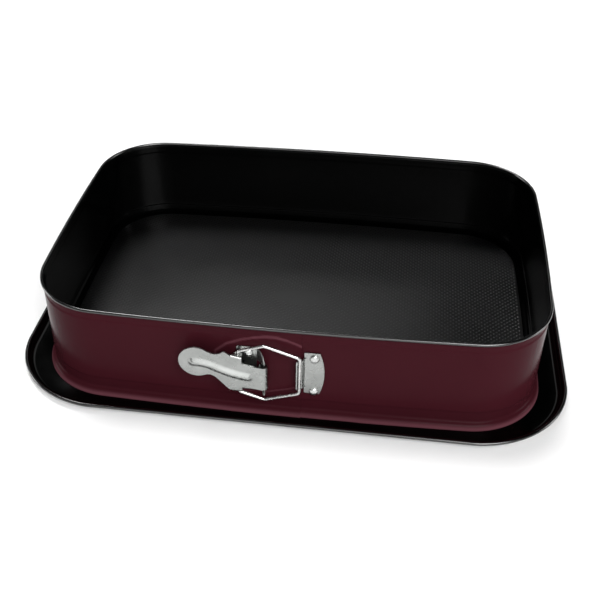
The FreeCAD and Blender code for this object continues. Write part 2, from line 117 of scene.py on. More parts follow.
# ------------------------------------------------------------------ materials
class Nodes:
    """A node tree with short calls for what these finishes need."""

    def __init__(self, name):
        self.material = bpy.data.materials.new(name)
        self.material.use_nodes = True
        self.tree = self.material.node_tree
        self.shader = self.tree.nodes["Principled BSDF"]
        self.place = self.tree.nodes.new("ShaderNodeTexCoord").outputs["Object"]

    def link(self, source, target):
        self.tree.links.new(source, target)

    def stretched(self, scale, turn=(0, 0, 0)):
        node = self.tree.nodes.new("ShaderNodeMapping")
        node.inputs["Scale"].default_value = scale
        node.inputs["Rotation"].default_value = turn
        self.link(self.place, node.inputs["Vector"])
        return node.outputs["Vector"]

    def noise(self, scale, detail=2.0, place=None, roughness=0.5):
        node = self.tree.nodes.new("ShaderNodeTexNoise")
        node.inputs["Scale"].default_value = scale
        node.inputs["Detail"].default_value = detail
        node.inputs["Roughness"].default_value = roughness
        self.link(place or self.place, node.inputs["Vector"])
        return node.outputs["Fac"]

    def spread(self, source, low, high, from_low=0.3, from_high=0.7):
        node = self.tree.nodes.new("ShaderNodeMapRange")
        for key, value in (("From Min", from_low), ("From Max", from_high),
                           ("To Min", low), ("To Max", high)):
            node.inputs[key].default_value = value
        self.link(source, node.inputs["Value"])
        return node.outputs["Result"]

    def ramp(self, source, stops):
        node = self.tree.nodes.new("ShaderNodeValToRGB")
        band = node.color_ramp
        while len(band.elements) < len(stops):
            band.elements.new(0.5)
        for element, (at, colour) in zip(band.elements, stops):
            element.position = at
            element.color = (*colour, 1)
        self.link(source, node.inputs["Fac"])
        return node.outputs["Color"]

    def mix(self, factor, one, two):
        node = self.tree.nodes.new("ShaderNodeMix")
        node.data_type = "RGBA"
        self.link(factor, node.inputs["Factor"])
        for socket, value in ((node.inputs[6], one), (node.inputs[7], two)):
            if isinstance(value, tuple):
                socket.default_value = (*value, 1)
            else:
                self.link(value, socket)
        return node.outputs[2]

    def painted_edge_highlight(self):
        """How strong the painted highlight is, from a value stored on each point of the mesh.
        """
        node = self.tree.nodes.new("ShaderNodeAttribute")
        node.attribute_name = "edge_highlight_paint"
        return node.outputs["Fac"]

    def bump(self, heights):
        """heights is a list of (socket, strength, distance in metres)."""
        previous = None
        for socket, strength, distance in heights:
            node = self.tree.nodes.new("ShaderNodeBump")
            node.inputs["Strength"].default_value = strength
            node.inputs["Distance"].default_value = distance
            self.link(socket, node.inputs["Height"])
            if previous:
                self.link(previous, node.inputs["Normal"])
            previous = node.outputs["Normal"]
        self.link(previous, self.shader.inputs["Normal"])

    def set(self, **values):
        for key, value in values.items():
            socket = self.shader.inputs[key.replace("_", " ")]
            if hasattr(value, "is_output"):
                self.link(value, socket)
            else:
                socket.default_value = value


BURGUNDY_LOW, BURGUNDY_HIGH = (0.0315, 0.0053, 0.0083), (0.0370, 0.0066, 0.0101)
# the second colour on the next line is a painted highlight for the flare's lip and the pad's
# border
BURGUNDY_FLECK, BURGUNDY_HIGHLIGHT_PAINT = (0.062, 0.014, 0.021), (0.118, 0.040, 0.052)
BLACK_LOW, BLACK_HIGH = (0.0002, 0.0002, 0.0002), (0.0006, 0.0007, 0.0007)
BLACK_SPECK = (0.008, 0.009, 0.009)
STUDIO_LOW, STUDIO_HIGH = (0.93, 0.93, 0.93), (0.95, 0.95, 0.95)


def enamel():
    """Burgundy enamel: faint clouds, fine flecks, and a paler painted highlight on pressed
    edges.
    """
    n = Nodes("burgundy_enamel")
    base = n.ramp(n.noise(9.0, 3.0), [(0.30, BURGUNDY_LOW), (0.70, BURGUNDY_HIGH)])
    fleck = n.spread(n.noise(2600.0, 1.0), 0.0, 0.30, 0.66, 0.80)
    face = n.mix(fleck, base, BURGUNDY_FLECK)
    # a paler painted highlight is mixed into the base colour on the pressed edges
    n.set(Base_Color=n.mix(n.painted_edge_highlight(), face, BURGUNDY_HIGHLIGHT_PAINT),
          Roughness=n.spread(n.noise(55.0, 4.0), 0.17, 0.24), Specular_IOR_Level=0.022)
    n.bump([(n.noise(750.0, 2.0), 0.08, 0.00008), (n.noise(60.0, 1.0), 0.05, 0.0006)])
    return n.material


def coating(name, rough_low, rough_high, shine, grain):
    """Black non-stick coating: faint clouds, pale specks and a fine orange peel."""
    n = Nodes(name)
    base = n.ramp(n.noise(14.0, 4.0), [(0.30, BLACK_LOW), (0.70, BLACK_HIGH)])
    speck = n.spread(n.noise(3200.0, 1.0), 0.0, 0.15, 0.68, 0.86)
    n.set(Base_Color=n.mix(speck, base, BLACK_SPECK),
          Roughness=n.spread(n.noise(40.0, 5.0), rough_low, rough_high),
          Specular_IOR_Level=shine)
    n.bump([(n.noise(1500.0, 2.0), grain, 0.00006), (n.noise(90.0, 1.0), 0.04, 0.0005)])
    return n.material


def zinc(name, low, high, rough_low, rough_high, grain):
    """Zinc-plated steel: soft clouds and a brushed grain, stretched by its three scales."""
    n = Nodes(name)
    cloud = n.noise(110.0, 4.0, roughness=0.5)
    n.set(Base_Color=n.ramp(cloud, [(0.32, low), (0.68, high)]), Metallic=1.0,
          Roughness=n.spread(n.noise(220.0, 3.0), rough_low, rough_high))
    streak = n.noise(1.0, 3.0, place=n.stretched(grain))
    n.bump([(streak, 0.06, 0.00005), (n.noise(1200.0, 3.0), 0.05, 0.00004)])
    return n.material


ENAMEL = enamel()
COATING = coating("black_nonstick", 0.12, 0.18, 0.20, 0.05)
FLOOR_COATING = coating("black_nonstick_floor", 0.29, 0.33, 0.50, 0.02)
RIM_COATING = coating("black_nonstick_rim", 0.16, 0.22, 1.0, 0.05)
LATCH_STEEL = zinc("satin_zinc", (0.31, 0.32, 0.31), (0.37, 0.38, 0.37), 0.25, 0.33,
                   (260, 260, 2600))
RIVET_STEEL = zinc("rivet_zinc", (0.50, 0.51, 0.50), (0.64, 0.65, 0.64), 0.20, 0.32,
                   (900, 900, 900))
WIRE_STEEL = zinc("bright_wire", (0.52, 0.52, 0.51), (0.66, 0.66, 0.65), 0.22, 0.32,
                  (2400, 2400, 240))


# ------------------------------------------------------------------ outlines seen from above
class Ring:
    """A rounded rectangle whose four sides are slightly bowed arcs tangent to its corners."""

    def __init__(self, half_x, half_y, corner, bow_x, bow_y):
        self.hx, self.hy, self.r, self.bx, self.by = half_x, half_y, corner, bow_x, bow_y
        x, y = half_x - corner, half_y - corner
        for _ in range(40):
            too_deep = math.hypot(x, y + bow_y - half_y) - (bow_y - corner)
            too_long = math.hypot(x + bow_x - half_x, y) - (bow_x - corner)
            x, y = x - too_long, y - too_deep
        self.kx, self.ky = x, y
        self.turn_y = math.atan2(x, y + bow_y - half_y)
        self.turn_x = math.atan2(y, x + bow_x - half_x)

    def at(self, part, t):
        """Point and outward normal. Parts 0 to 7 go round from the latch side; on the sides
        t runs from -1 to 1, on the corners from 0 to 1."""
        quarter, corner = divmod(part, 2)
        along_y = quarter % 2 == 0
        turn = self.turn_y if along_y else self.turn_x
        middle = quarter * TAU / 4 - TAU / 4
        if not corner:
            angle = middle + t * turn
            bow, half = (self.by, self.hy) if along_y else (self.bx, self.hx)
            centre = Vector((math.cos(middle), math.sin(middle))) * (half - bow)
            reach = bow
        else:
            other = self.turn_x if along_y else self.turn_y
            angle = middle + turn + t * (TAU / 4 - turn - other)
            centre = Vector((self.kx * (1 if quarter in (0, 1) else -1),
                             self.ky * (1 if quarter in (1, 2) else -1)))
            reach = self.r
        normal = Vector((math.cos(angle), math.sin(angle)))
        point = centre + normal * reach
        return point.x, point.y, normal.x, normal.y

    def t_at(self, x):
        """The place on the latch side whose x is given."""
        return math.asin(x / self.by) / self.turn_y


BOWED = Ring(HALF_LENGTH, HALF_DEPTH, CORNER, SIDE_BOW, LONG_BOW)
TRAY = Ring(TRAY_X, TRAY_Y, TRAY_CORNER, STRAIGHT, STRAIGHT)


def walk(front, side, back, corner):
    """Places (part, t) all the way round."""
    sides = {0: front, 2: side, 4: back, 6: side}
    found = []
    for part in range(8):
        if part % 2:
            found += [(part, k / corner) for k in range(1, corner)]
        else:
            found += [(part, t) for t in sides[part]]
    return found


def even(count):
    return [2 * k / count - 1 for k in range(count + 1)]


# ------------------------------------------------------------------ side band
OVERLAP_X, INNER_END_X = 16.0, -38.0
LATCH_ZONE, RELIEF_TOP = 70, 77.4
PAD_HEIGHT, STRIP_HEIGHT, UNDER_STEP, INNER_STEP = 0.8, 0.22, 0.28, 0.45
PAD = [(-46.5, 30.0), (-46.5, 55.6), (-38.0, 63.4), (-27.0, 68.4), (-18.0, 71.0),
       (-10.0, 72.2), (-2.0, 72.2), (5.0, 71.0), (12.0, 68.4), (20.0, 64.6), (20.0, 31.0),
       (8.0, 25.0), (-8.0, 20.5), (-24.0, 19.6), (-38.0, 23.0)]
PAD_EDGES = []
for (x0, z0), (x1, z1) in zip(PAD, PAD[1:] + PAD[:1]):
    run = math.hypot(x1 - x0, z1 - z0)
    PAD_EDGES.append((x0, z0, (z1 - z0) / run, -(x1 - x0) / run))


def pad_ramp(x, z):
    """From 0 to 1 across the sloping border of the raised pad."""
    inside = min((x - x0) * nx + (z - z0) * nz for x0, z0, nx, nz in PAD_EDGES)
    return inside / 2.0 + 0.2


def edge_highlight_paint(part, x, z):
    """Painted highlight on the pressed edges: the flare's lip and the border of the pad."""
    lip = 1 - smooth((z - 2.2) / 3.2)
    if part or abs(x) > LATCH_ZONE or x > OVERLAP_X:
        return lip
    t = min(max(pad_ramp(x, z), 0.0), 1.0)
    return max(lip, 2.4 * t * (1 - t))


def outside_rise(x, z):
    """How far the outer face stands off the plain band near the overlap."""
    if abs(x) > LATCH_ZONE or z > RELIEF_TOP:
        return 0.0
    fade = 1 - smooth((z - 76.2) / 1.0)
    if x > OVERLAP_X:
        return -UNDER_STEP * (1 - smooth((x - 50) / 12)) * fade
    pad = PAD_HEIGHT * smooth(pad_ramp(x, z))
    strip = STRIP_HEIGHT * smooth((x + 46) / 16)
    return max(pad, strip) * fade


def inside_drop(x, z):
    """How far the inner strip, which ends under the overlap, stands into the pan."""
    if x < INNER_END_X or x > LATCH_ZONE or z < 12 or z > RELIEF_TOP:
        return 0.0
    return -INNER_STEP * (1 - smooth((x - OVERLAP_X) / 42)) \
        * (1 - smooth((z - 75.5) / 1.5)) * smooth((z - 12) / 2)


def step_rows(low, high, start, end, count):
    """Rows of a soft step in the sheet, s from start to end."""
    return [(start + (end - start) * smooth(k / count), low + (high - low) * k / count)
            for k in range(count + 1)]


def band_section():
    """Closed section of the band as (s, z, kind): s is measured out from the inner face."""
    t, flare = BAND_SHEET, FLARE_ANGLE
    inner = arc(-0.3, LIP_Z, 4.7, 0, flare, 8) + arc(3.3, FLARE_TOP, 3.3, 180 + flare, 180, 7)
    inner += [(0, 11.5)] + step_rows(PANEL_LOW - 1, PANEL_LOW + 1, 0, PANEL_STEP, 5)
    inner += [(PANEL_STEP, z) for z in spaced(20, 68, 6)]
    inner += step_rows(PANEL_HIGH - 1, PANEL_HIGH + 1, PANEL_STEP, 0, 5)
    inner += [(0, 75.4), (0, 76.8)]
    roll = arc(ROLL_RADIUS, ROLL_Z, ROLL_RADIUS, 180, -76, 22)
    roll += arc(ROLL_RADIUS, ROLL_Z, ROLL_RADIUS - t, -76, 180, 12)
    outer = [(t, 77.5), (t, 76.2), (t, 75.0), (t, 73.6)]
    outer += step_rows(PANEL_HIGH + 1, PANEL_HIGH - 1, t, t + PANEL_STEP, 6)
    outer += [(t + PANEL_STEP, z) for z in spaced(PANEL_HIGH - 2, PANEL_LOW + 2, -1)]
    outer += step_rows(PANEL_LOW + 1, PANEL_LOW - 1, t + PANEL_STEP, t, 6)
    outer += [(t, 12.4), (t, 10.2)]
    outer += arc(3.3, FLARE_TOP, 2.7, 180, 180 + flare, 8)
    outer += arc(-0.3, LIP_Z, 5.3, flare, 0, 10)[1:]
    lip = [(4.92, LIP_Z - 0.1), (4.48, LIP_Z - 0.1)]
    return ([(s, z, "in") for s, z in inner] + [(s, z, "roll") for s, z in roll]
            + [(s, z, "out") for s, z in outer] + [(s, z, "out") for s, z in lip])


def make_band():
    # columns lie close together near the latch, closest at the two ends of the strip
    xs = spaced(-64, -38.06, 1.1) + [-37.94] + spaced(-37, 15.0, 1.0) + [15.94, 16.06]
    xs += spaced(17, 62, 1.15)
    far = BOWED.turn_y * LONG_BOW - 1
    xs = spaced(-far, -67, 3.2) + xs + spaced(65, far, 3.2)
    front = [-1.0] + [BOWED.t_at(x) for x in xs] + [1.0]
    places = walk(front, even(38), even(60), 26)
    section = band_section()
    points, faces, kinds, painted_edge_highlight = [], [], [], []
    for part, t in places:
        x, y, nx, ny = BOWED.at(part, t)
        # strength of the painted highlight on the outer face's pressed edges
        painted_edge_highlight += [edge_highlight_paint(part, x, z) if kind == "out" else 0.0 for s, z, kind in section]
        for s, z, kind in section:
            if part == 0 and kind == "out":
                s += outside_rise(x, z)
            elif part == 0 and kind == "in":
                s += inside_drop(x, z)
            points.append((x + nx * s, y + ny * s, z))
    rows, columns = len(section), len(places)
    for c in range(columns):
        here, there = c * rows, (c + 1) % columns * rows
        for r in range(rows):
            up = (r + 1) % rows
            faces.append((here + r, there + r, there + up, here + up))
            pair = (section[r][2], section[up][2])
            kinds.append(1 if pair == ("out", "out") else 2 if "roll" in pair else 0)
    made = make_piece("band_shell", points, faces, "band",
                      [COATING, ENAMEL, RIM_COATING], "side_band", kinds, sharp=48)
    # stores the painted highlight's strength on each point for the enamel
    made.data.attributes.new("edge_highlight_paint", "FLOAT", "POINT").data.foreach_set("value", painted_edge_highlight)


# ------------------------------------------------------------------ base tray
TRAY_RISE, TRAY_RISE_S = 4.7, -6.1
TRAY_ROLL, TRAY_ROLL_Z, ROLL_FROM_S = 1.4, 5.4, -1.5


def tray_section():
    """Rows (ring, s, z) from the floor's edge over the rim and back underneath. Ring 0 is
    the band's outline and ring 1 the tray's."""
    floor, t = -FLOOR_INSET, TRAY_SHEET
    top = [(0, floor - 0.25, FLOOR_Z), (0, floor + 0.1, FLOOR_Z - 0.1)]
    top += [(0, floor + 0.95, MOAT_Z + 0.15), (0, floor + 1.35, MOAT_Z)]
    top += [(0, s, z) for s, z in arc(-0.3, LIP_Z, 4.35, 90, 4, 9)]
    top += [(0, 4.15, 0.78), (0, 4.45, t)]
    rise, roll, high = TRAY_RISE, TRAY_ROLL, TRAY_ROLL_Z
    rim = [(1, s, z) for s, z in arc(TRAY_RISE_S, high, rise, -90, 0, 9)]
    rim += [(1, s, z) for s, z in arc(0, high, roll, 180, -72, 18)[1:]]
    rim += [(1, s, z) for s, z in arc(0, high, roll - t, -72, 180, 10)]
    under = [(1, s, z) for s, z in arc(TRAY_RISE_S, high, rise + t, 0, -90, 8)[1:]]
    under += [(0, 3.6, 0.0)] + [(0, s, z) for s, z in arc(-0.3, LIP_Z, 3.65, 0, 90, 7)]
    under += [(0, floor + 1.2, MOAT_Z - t), (0, floor + 0.2, FLOOR_Z - t - 0.1),
              (0, floor - 0.2, FLOOR_Z - t)]
    return top + rim + under


def make_tray():
    places = walk(even(56), even(38), even(56), 30)
    section = tray_section()
    rows, columns = len(section), len(places)
    points, faces, slots = [], [], []
    for part, t in places:
        rings = (BOWED.at(part, t), TRAY.at(part, t))
        for which, s, z in section:
            x, y, nx, ny = rings[which]
            points.append((x + nx * s, y + ny * s, z))
    for c in range(columns):
        here, there = c * rows, (c + 1) % columns * rows
        faces += [(here + r, there + r, there + r + 1, here + r + 1) for r in range(rows - 1)]
        slots += [2 if which and s > ROLL_FROM_S else 0 for which, s, z in section[:-1]]
    for row in (0, rows - 1):
        faces.append(tuple(c * rows + row for c in range(columns)))
    return make_piece("tray_shell", points, faces, "base",
                      [COATING, FLOOR_COATING, RIM_COATING], "base_tray", slots + [1, 1],
                      sharp=38)


MEDALLION_X, MEDALLION_Y, MEDALLION_MIDDLE = 23.3, 9.2, 4.2
DOT_STEP_X, DOT_STEP_Y, DOT_RADIUS, DOT_HEIGHT = 2.28, 2.3, 1.15, 0.48
DOT_SHOULDER, DOT_SHOULDER_HEIGHT, DOT_SUNK, DOT_MARGIN = 0.50, 0.60, 0.06, 1.3
DOT_ROWS, DOT_COLUMNS = 56, 82


def on_floor(x, y, margin):
    """Whether a dot at x, y is on the raised floor and outside the smooth medallion."""
    medallion = (x / (MEDALLION_X + margin)) ** 2 \
        + ((y - MEDALLION_MIDDLE) / (MEDALLION_Y + margin)) ** 2
    if medallion < 1:
        return False
    ax, ay, inset = abs(x), abs(y), FLOOR_INSET + margin
    if ax > BOWED.kx and ay > BOWED.ky:
        return math.hypot(ax - BOWED.kx, ay - BOWED.ky) < CORNER - inset
    deep = math.hypot(ax, ay + LONG_BOW - HALF_DEPTH) < LONG_BOW - inset
    return deep and math.hypot(ax + SIDE_BOW - HALF_LENGTH, ay) < SIDE_BOW - inset


def make_dots():
    """Low six-sided domes, each a closed shape that stands a little into the floor."""
    points, faces, sides = [], [], 6
    spokes = [(math.cos(TAU * k / sides), math.sin(TAU * k / sides)) for k in range(sides)]
    for j in range(-DOT_ROWS, DOT_ROWS + 1):
        for i in range(-DOT_COLUMNS, DOT_COLUMNS + 1):
            x, y = i * DOT_STEP_X, j * DOT_STEP_Y
            if (i + j) % 2 or not on_floor(x, y, DOT_MARGIN):
                continue
            first = len(points)
            for radius, z in ((DOT_RADIUS, FLOOR_Z - DOT_SUNK),
                              (DOT_RADIUS * DOT_SHOULDER,
                               FLOOR_Z + DOT_HEIGHT * DOT_SHOULDER_HEIGHT)):
                points += [(x + radius * c, y + radius * s, z) for c, s in spokes]
            points.append((x, y, FLOOR_Z + DOT_HEIGHT))
            for k in range(sides):
                n = (k + 1) % sides
                faces.append((first + k, first + n, first + sides + n, first + sides + k))
                faces.append((first + sides + k, first + sides + n, first + 2 * sides))
            faces.append(tuple(first + sides - 1 - k for k in range(sides)))
    return make_piece("floor_dots", points, faces, "base", [FLOOR_COATING],
                      sharp=75)


# ------------------------------------------------------------------ stamped sheet pieces
def inside(polygon, x, y):
    hit = False
    for (x0, y0), (x1, y1) in zip(polygon, polygon[1:] + polygon[:1]):
        if (y0 > y) != (y1 > y) and x < (x1 - x0) * (y - y0) / (y1 - y0) + x0:
            hit = not hit
    return hit


def divided(polygon, step):
    found = []
    for (x0, y0), (x1, y1) in zip(polygon, polygon[1:] + polygon[:1]):
        count = max(1, math.ceil(math.hypot(x1 - x0, y1 - y0) / step))
        found += [(x0 + (x1 - x0) * k / count, y0 + (y1 - y0) * k / count)
                  for k in range(count)]
    return found


def rounded(corners, steps=5):
    """Closed outline from (x, y, radius) corners."""
    found, count = [], len(corners)
    for k, (x, y, radius) in enumerate(corners):
        at = Vector((x, y))
        back = (Vector(corners[k - 1][:2]) - at)
        ahead = (Vector(corners[(k + 1) % count][:2]) - at)
        room = 0.48 * min(back.length, ahead.length)
        back.normalize()
        ahead.normalize()
        angle = back.angle(ahead)
        if radius <= 0 or angle > 3.1:
            found.append((x, y))
            continue
        cut = min(radius / math.tan(angle / 2), room)
        radius = cut * math.tan(angle / 2)
        centre = at + (back + ahead).normalized() * (radius / math.sin(angle / 2))
        start, end = at + back * cut, at + ahead * cut
        a0 = math.atan2(start.y - centre.y, start.x - centre.x)
        turn = math.atan2(end.y - centre.y, end.x - centre.x) - a0
        turn = (turn + math.pi) % TAU - math.pi
        for i in range(steps + 1):
            a = a0 + turn * i / steps
            found.append((centre.x + radius * math.cos(a), centre.y + radius * math.sin(a)))
    return found


SHANK_HOLE, EYE_HOLE, HOLE_TURN, HOLE_STEPS = 1.52, 1.36, 342, 19


def hole_at(x, z, radius):
    """A round hole of twenty points."""
    return arc(x, z, radius, 0, HOLE_TURN, HOLE_STEPS)


def make_sheet(name, outline, holes, step, place, thick, body, material, node,
               bevel=0.16):
    """A stamped sheet: a flat outline filled with small triangles and bent by
    place(u, v, w), with w the height above the middle of the sheet."""
    loops = [divided(outline, step)] + [divided(hole, step) for hole in holes]
    flat, edges = [], []
    for loop in loops:
        first = len(flat)
        flat += loop
        edges += [(first + k, first + (k + 1) % len(loop)) for k in range(len(loop))]
    low = [min(p[k] for p in outline) for k in (0, 1)]
    high = [max(p[k] for p in outline) for k in (0, 1)]
    cells = {}
    for p in flat:
        cells.setdefault((int(p[0] // step), int(p[1] // step)), []).append(p)
    rows = int((high[1] - low[1]) / step) + 1
    for j in range(rows):
        for i in range(int((high[0] - low[0]) / step) + 1):
            x = low[0] + (i + 0.5 * (j % 2)) * step
            y = low[1] + j * step
            a, b = int(x // step), int(y // step)
            near = [p for da in (-1, 0, 1) for db in (-1, 0, 1)
                    for p in cells.get((a + da, b + db), [])]
            if any(math.hypot(x - p[0], y - p[1]) < 0.55 * step for p in near):
                continue
            if inside(outline, x, y) and not any(inside(h, x, y) for h in holes):
                flat.append((x, y))
    found = delaunay_2d_cdt([Vector(p) for p in flat], edges, [], 0, 1e-5)
    flat = [(p.x, p.y) for p in found[0]]
    keep = []
    for face in found[2]:
        x = sum(flat[k][0] for k in face) / len(face)
        y = sum(flat[k][1] for k in face) / len(face)
        if inside(outline, x, y) and not any(inside(h, x, y) for h in holes):
            keep.append(tuple(face))
    used = sorted({k for face in keep for k in face})
    index = {k: i for i, k in enumerate(used)}
    count = len(used)
    points = [place(*flat[k], thick / 2) for k in used]
    points += [place(*flat[k], -thick / 2) for k in used]
    faces, rim = [], {}
    for face in keep:
        ids = [index[k] for k in face]
        faces.append(tuple(ids))
        faces.append(tuple(k + count for k in reversed(ids)))
        for a, b in zip(ids, ids[1:] + ids[:1]):
            if (b, a) in rim:
                del rim[(b, a)]
            else:
                rim[(a, b)] = True
    faces += [(b, a, a + count, b + count) for a, b in rim]
    made = make_piece(name, [(x, -out, z) for x, out, z in points], faces, body,
                      [material], node, sharp=50)
    soft = made.modifiers.new("rounded_edges", "BEVEL")
    soft.width, soft.segments = bevel * MM, 3
    soft.limit_method, soft.angle_limit = "ANGLE", math.radians(55)
    return made


# latch lever: blade, two ears bent to the wall, and a curl round the hinge bar
LEVER_SHEET, BLADE_OUT = 1.2, 138.8
CURL_RADIUS, CURL_TURN = 2.6, math.radians(305)
EAR_TOP, EAR_BOTTOM, EAR_BEND = 59.2, 26.0, 1.1
EAR_FOLD_TOP = EAR_TOP - LEVER_SHEET / 2 - EAR_BEND
EAR_FOLD_LOW = EAR_BOTTOM + LEVER_SHEET / 2 + EAR_BEND
BEAD_HEIGHT, BEAD_UPPER, BEAD_LOWER, BEAD_DROP = 2.2, 4.7, 3.8, 0.4
CURL_X = BAR_X - 0.35
BEAD_LINE = [(-60.4, 51.2), (-58.2, 51.25), (-56.0, 51.1), (-53.0, 50.85), (-49.5, 50.1),
             (-46.0, 48.8), (-42.6, 47.2), (-38.0, 45.3), (-34.3, 44.0), (-30.0, 42.9),
             (-25.6, 42.0), (-21.2, 41.3)]


def from_line(line, x, y):
    """Distance to a line, and the rise of the way from the line, from -1 to 1."""
    best, rise = 1e9, 0.0
    for (x0, y0), (x1, y1) in zip(line, line[1:]):
        dx, dy = x1 - x0, y1 - y0
        t = min(max(((x - x0) * dx + (y - y0) * dy) / (dx * dx + dy * dy), 0), 1)
        distance = math.hypot(x - x0 - t * dx, y - y0 - t * dy)
        if distance < best:
            best, rise = distance, (y - y0 - t * dy) / max(distance, 1e-6)
    return best, rise


def bead(u, v):
    """Height of the pressed bead: a long upper flank and a shorter lower one."""
    distance, rise = from_line(BEAD_LINE, u, v + BEAD_DROP)
    half = (BEAD_UPPER + BEAD_LOWER + rise * (BEAD_UPPER - BEAD_LOWER)) / 2
    t = max(1 - distance / half, 0.0)
    return BEAD_HEIGHT * (0.4 * t + 0.6 * smooth(t))


def top_fold(u):
    """Height of the fold of the top ear, which falls towards the hinge."""
    return EAR_FOLD_TOP + 0.5 - 0.2 * (u + 33.6)


def folded(length, height, fold_out, sign, edge_z):
    """A flange turned to the wall: length past the fold, height above the mid-surface."""
    quarter = EAR_BEND * math.pi / 2
    if length < quarter:
        a = length / EAR_BEND
        return (fold_out + (EAR_BEND + height) * math.cos(a),
                edge_z + sign * (EAR_BEND + height) * math.sin(a))
    return fold_out - (length - quarter), edge_z + sign * (EAR_BEND + height)


def lever_place(u, v, w):
    if u > CURL_X:
        a = (u - CURL_X) / CURL_RADIUS
        reach = CURL_RADIUS + w
        return CURL_X + reach * math.sin(a), BAR_OUT + reach * math.cos(a), v
    fold_out = BLADE_OUT - EAR_BEND
    if v > top_fold(u) and -33.62 < u < -25.0:
        out, z = folded(v - top_fold(u), w, fold_out, 1, top_fold(u))
        return u, out, z
    if v < EAR_FOLD_LOW and -33.75 < u < -25.0:
        out, z = folded(EAR_FOLD_LOW - v, w, fold_out, -1, EAR_FOLD_LOW)
        return u, out, z
    return u, BLADE_OUT + bead(u, v) + w, v


def make_lever():
    eye_in = EAR_BEND * math.pi / 2 + BLADE_OUT - EAR_BEND - WIRE_OUT
    top_eye, low_eye = top_fold(EYE_X) + eye_in, EAR_FOLD_LOW - eye_in
    reach = 2.9
    curl_end = CURL_X + CURL_RADIUS * CURL_TURN
    paddle = arc(-58.2, 51.1, 12.8, 50.5, 292, 44)
    outline = [(curl_end, 29.6), (curl_end, 50.0), (CURL_X, 50.0), (-17.5, 50.7),
               (-24.6, 52.4), (-25.5, 53.4), (-25.6, top_fold(-25.6) + 1.7),
               (EYE_X + reach, top_eye)]
    outline += arc(EYE_X, top_eye, reach, 0, 180, 12)[1:]
    outline += [(-33.2, top_fold(-33.2) + 1.7), (-33.5, top_fold(-33.5) + 0.3),
                (-33.7, top_fold(-33.7) + 0.3), (-33.8, 59.6), (-35.6, 60.9), (-37.2, 62.0),
                (-38.4, 62.3), (-39.6, 61.5), (-41.2, 60.4), (-43.2, 59.7), (-45.4, 59.5),
                (-47.4, 60.0), (-49.0, 60.7)]
    outline += paddle
    outline += [(-52.0, 39.75), (-50.2, 40.35), (-48.4, 40.45), (-46.6, 39.9), (-45.0, 38.9),
                (-43.4, 37.4), (-35.6, 28.8), (-34.4, 27.9),
                (-33.6, EAR_FOLD_LOW + 0.3), (-33.1, EAR_FOLD_LOW + 0.3),
                (-32.6, EAR_FOLD_LOW - 1.0)]
    outline += arc(EYE_X, low_eye, reach, 180, 360, 12)
    outline += [(-25.6, EAR_FOLD_LOW), (-25.5, 30.4), (-24.9, 31.2), (-22.0, 31.0),
                (CURL_X, 29.6)]
    holes = [hole_at(EYE_X, z, EYE_HOLE) for z in (top_eye, low_eye)]
    return make_sheet("lever_plate", outline, holes, 0.72, lever_place, LEVER_SHEET, "lever",
                      LATCH_STEEL, "latch_lever", bevel=0.42)


# hinge bracket: a riveted plate, a web that slopes out, and the strip the lever turns on
STAMP = 0.9
WEB_CORNER_X, WEB_BEND = -15.15, 1.2
WEB_CUT = WEB_BEND * math.tan(math.radians(22.5))
WEB_ARC = WEB_BEND * math.pi / 4


def bracket_place(u, v, w):
    out = SEAT_OUT + STAMP / 2
    start = WEB_CORNER_X - WEB_CUT
    if u < start:
        return u, out + w, v
    run = u - start
    if run < WEB_ARC:
        a = run / WEB_BEND
        return (start + (WEB_BEND - w) * math.sin(a),
                out + WEB_BEND - (WEB_BEND - w) * math.cos(a), v)
    rest = (run - WEB_ARC + WEB_CUT) * math.sqrt(0.5)
    tilt = w * math.sqrt(0.5)
    return WEB_CORNER_X + rest - tilt, out + rest + tilt, v


def make_bracket():
    outline = rounded([
        (-30.4, 23.2, 1.5), (-30.4, 62.9, 1.6), (-17.0, 62.7, 3.0), (-12.6, 60.9, 4.0),
        (-9.2, 57.6, 4.0), (-7.5, 52.0, 6.0), (-7.1, 46.0, 6.0), (-7.1, 40.0, 6.0),
        (-7.5, 33.0, 6.0), (-7.6, 27.0, 4.0), (-8.0, 21.8, 0.6), (-9.3, 21.9, 0.6),
        (-9.6, 25.2, 1.2), (-16.0, 25.4, 1.6), (-16.6, 23.2, 1.0)])
    window = rounded([(-16.0, 28.4, 1.0), (-9.3, 28.2, 1.0), (-9.3, 51.3, 1.0),
                      (-16.0, 51.4, 1.0)])
    holes = [hole_at(x, z, SHANK_HOLE) for x, z in BRACKET_RIVETS]
    return make_sheet("bracket_sheet", outline, [window] + holes, 0.8, bracket_place, STAMP,
                      "band", LATCH_STEEL, "hinge_bracket", bevel=0.30)


# catch plate: a riveted plate whose tongue slopes out behind the wire and curls round it
TONGUE_LOW, TONGUE_HIGH, TONGUE_STEP = 30.0, 56.0, 0.1
TONGUE_START, CRADLE_OUT, LIP_OUT = 19.1, 133.75, 137.3


def tongue_path():
    """Middle line of the tongue as (x, out, normal x, normal out), one every 0.1 mm."""
    plate = WALL_OUT + STAMP / 2
    bends = rounded([(TONGUE_START, plate, 0), (17.9, plate, 1.0), (16.9, CRADLE_OUT, 0.9),
                     (13.35, CRADLE_OUT, 1.7), (13.35, LIP_OUT + 1, 0)], 10)
    found, spare = [], 0.0
    for (x0, y0), (x1, y1) in zip(bends, bends[1:]):
        run = math.hypot(x1 - x0, y1 - y0)
        s = spare
        while s < run:
            found.append((x0 + (x1 - x0) * s / run, y0 + (y1 - y0) * s / run,
                          (y1 - y0) / run, -(x1 - x0) / run))
            s += TONGUE_STEP
        spare = s - run
    return found


TONGUE = tongue_path()


